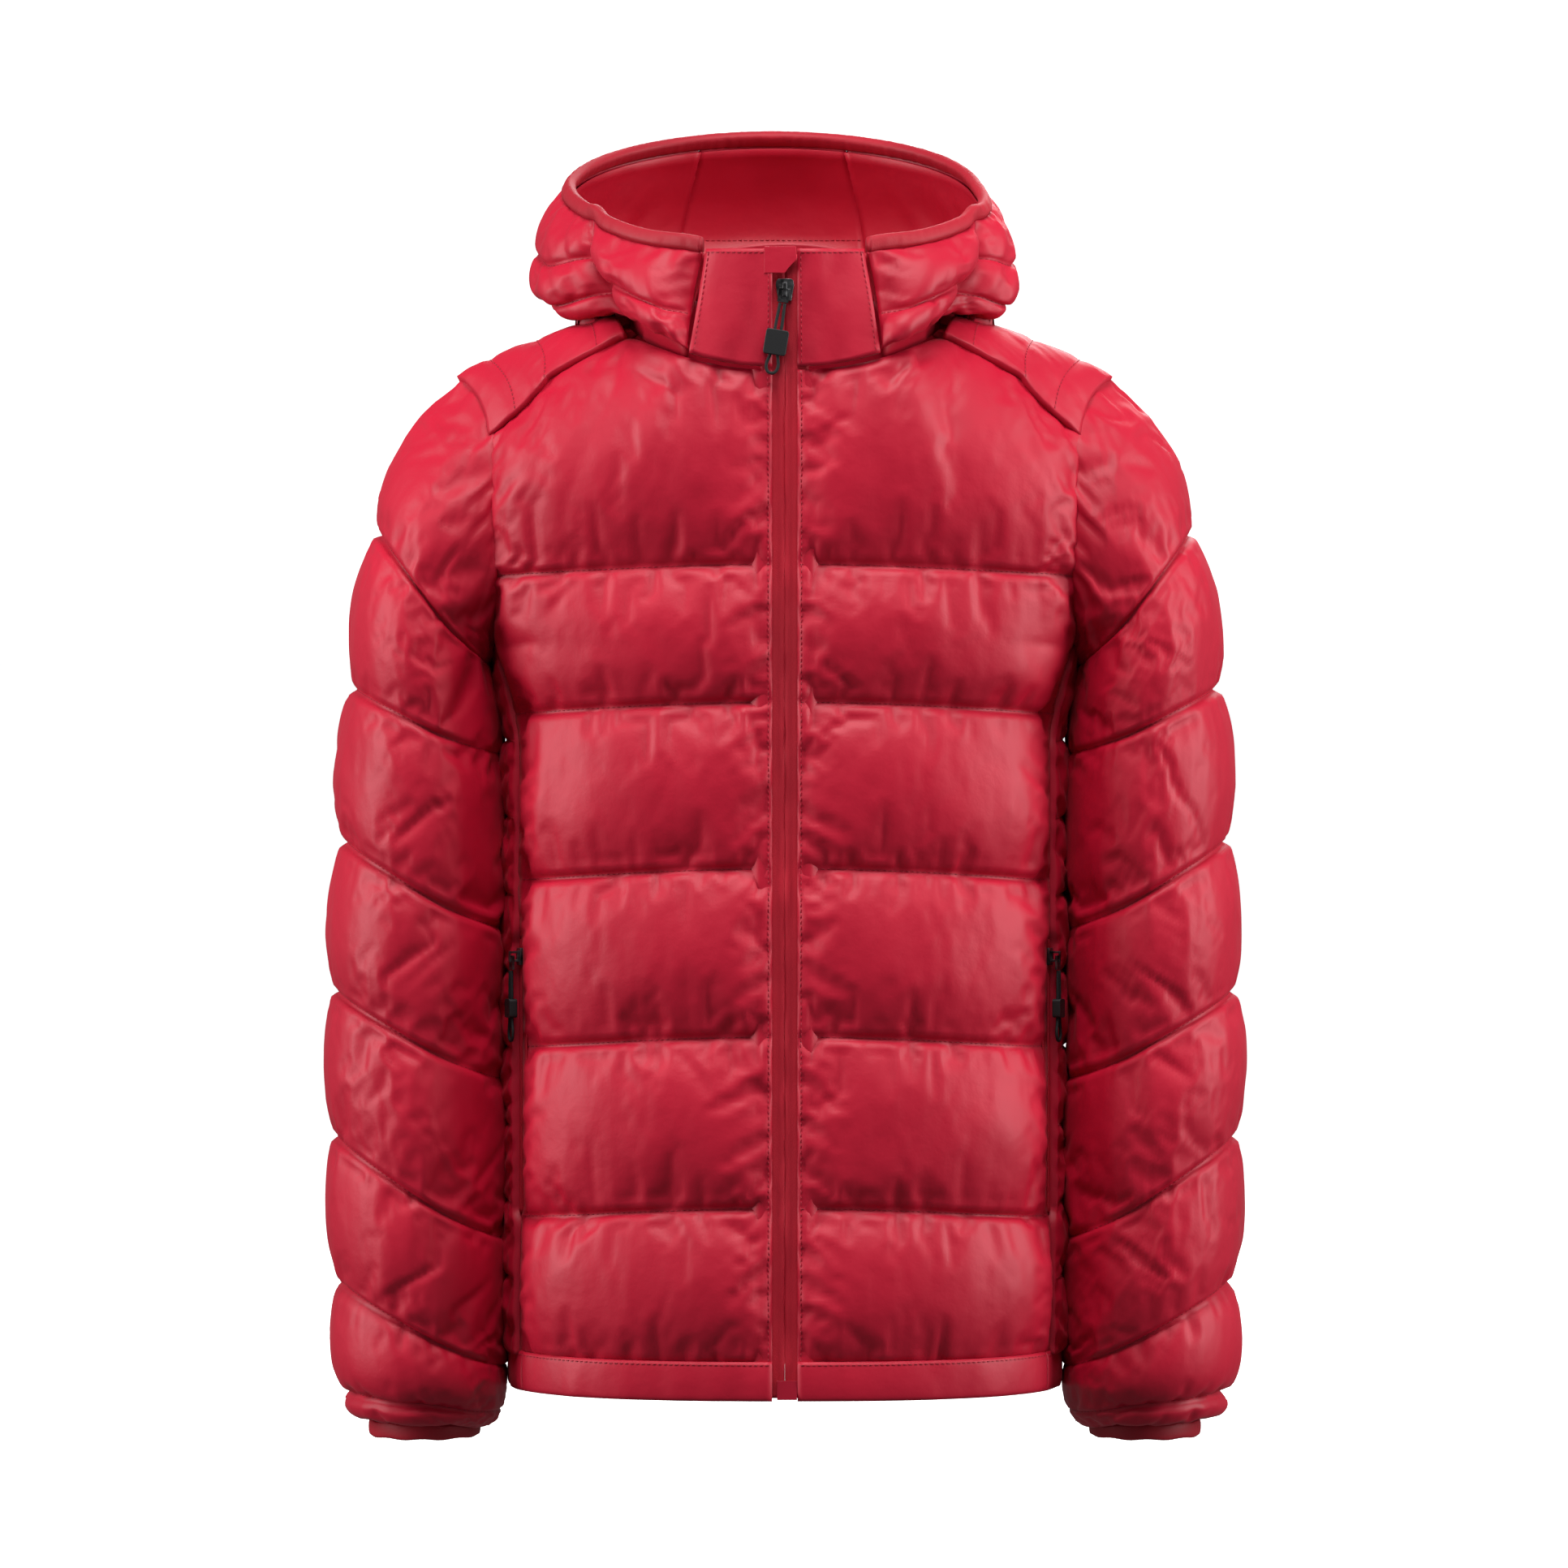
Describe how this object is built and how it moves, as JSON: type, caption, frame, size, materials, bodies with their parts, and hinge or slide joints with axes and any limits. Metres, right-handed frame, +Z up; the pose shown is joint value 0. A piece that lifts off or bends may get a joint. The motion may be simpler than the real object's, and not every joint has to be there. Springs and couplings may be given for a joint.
{
  "type": "ski jacket",
  "caption": "Hooded, quilted, synthetic-fill ski jacket, zipped up the front, with zipped side pockets, a stand collar and elastic cuffs.",
  "frame": {"origin": "in the gap of the hanger loop, inside the back neck", "axes": "+Z up, -Y to the front, +X to the wearer's left"},
  "size_m": [0.5834, 0.3261, 0.8451],
  "materials": {
    "shell_nylon": "satin woven nylon, filled and quilted",
    "lining_nylon": "smooth nylon taffeta",
    "binding_elastic": "ribbed elastic binding",
    "zip_tape_polyester": "woven tape",
    "zip_coil_nylon": "moulded nylon",
    "slider_metal": "black lacquer, worn to bright metal on its edges",
    "pull_cord": "braided cord",
    "pull_grip": "matte moulded rubber"
  },
  "bodies": {
    "jacket": {"front_panel_left": "shell_nylon", "side_panel_left": "shell_nylon", "yoke_left": "shell_nylon", "hem_band_left": "shell_nylon", "chin_panel_left": "shell_nylon", "collar_side_left": "shell_nylon", "hood_side_left": "shell_nylon", "front_lining_left": "lining_nylon", "hood_lining_left": "lining_nylon", "chin_lining_left": "lining_nylon", "pocket_bag_left": "lining_nylon", "zip_tape_left": "zip_tape_polyester", "pocket_tape_left": "zip_tape_polyester", "zip_coil_left": "zip_coil_nylon", "pocket_coil_left": "zip_coil_nylon", "front_panel_right": "shell_nylon", "side_panel_right": "shell_nylon", "yoke_right": "shell_nylon", "hem_band_right": "shell_nylon", "chin_panel_right": "shell_nylon", "collar_side_right": "shell_nylon", "hood_side_right": "shell_nylon", "front_lining_right": "lining_nylon", "hood_lining_right": "lining_nylon", "chin_lining_right": "lining_nylon", "pocket_bag_right": "lining_nylon", "zip_tape_right": "zip_tape_polyester", "pocket_tape_right": "zip_tape_polyester", "zip_coil_right": "zip_coil_nylon", "pocket_coil_right": "zip_coil_nylon", "back_panel": "shell_nylon", "hem_band_back": "shell_nylon", "hood_centre": "shell_nylon", "zip_garage": "shell_nylon", "back_lining": "lining_nylon", "hood_lining_centre": "lining_nylon", "neck_facing": "lining_nylon", "hood_binding": "binding_elastic", "hanger_loop": "binding_elastic", "zip_insertion_pin": "zip_coil_nylon", "zip_retainer_box": "zip_coil_nylon"},
    "left_sleeve": {"sleeve_left": "shell_nylon", "sleeve_lining_left": "lining_nylon", "cuff_binding_left": "binding_elastic"},
    "right_sleeve": {"sleeve_right": "shell_nylon", "sleeve_lining_right": "lining_nylon", "cuff_binding_right": "binding_elastic"},
    "front_zip_slider": {"front_slider": "slider_metal"},
    "front_zip_pull": {"front_pull_tab": "slider_metal", "front_pull_cord": "pull_cord", "front_pull_grip": "pull_grip"},
    "pocket_zip_slider_left": {"pocket_slider_left": "slider_metal"},
    "pocket_zip_pull_left": {"pocket_pull_tab_left": "slider_metal", "pocket_pull_cord_left": "pull_cord", "pocket_pull_grip_left": "pull_grip"},
    "pocket_zip_slider_right": {"pocket_slider_right": "slider_metal"},
    "pocket_zip_pull_right": {"pocket_pull_tab_right": "slider_metal", "pocket_pull_cord_right": "pull_cord", "pocket_pull_grip_right": "pull_grip"}
  },
  "joints": [
    {"name": "left_sleeve_raise", "type": "hinge", "parent": "jacket", "child": "left_sleeve", "pos_m": [0.2105, -0.072, -0.068], "axis": [0, -1, 0], "range_deg": [0, 55]},
    {"name": "right_sleeve_raise", "type": "hinge", "parent": "jacket", "child": "right_sleeve", "pos_m": [-0.2105, -0.072, -0.068], "axis": [0, 1, 0], "range_deg": [0, 55]},
    {"name": "front_zip_slide", "type": "slide", "parent": "jacket", "child": "front_zip_slider", "axis": [0, -0.0549, -0.9985], "range_m": [0, 0.665]},
    {"name": "front_pull_swing", "type": "hinge", "parent": "front_zip_slider", "child": "front_zip_pull", "pos_m": [0, -0.17282, -0.01581], "axis": [-1, 0, 0], "range_deg": [0, 160]},
    {"name": "pocket_zip_slide_left", "type": "slide", "parent": "jacket", "child": "pocket_zip_slider_left", "axis": [0, -0.0381, -0.9993], "range_m": [0, 0.14]},
    {"name": "pocket_pull_swing_left", "type": "hinge", "parent": "pocket_zip_slider_left", "child": "pocket_zip_pull_left", "pos_m": [0.17418, -0.12124, -0.43995], "axis": [-0.3554, -0.934, 0.0356], "range_deg": [0, 25]},
    {"name": "pocket_zip_slide_right", "type": "slide", "parent": "jacket", "child": "pocket_zip_slider_right", "axis": [0, -0.0381, -0.9993], "range_m": [0, 0.14]},
    {"name": "pocket_pull_swing_right", "type": "hinge", "parent": "pocket_zip_slider_right", "child": "pocket_zip_pull_right", "pos_m": [-0.17418, -0.12124, -0.43995], "axis": [-0.3554, 0.934, -0.0356], "range_deg": [0, 25]}
  ]
}
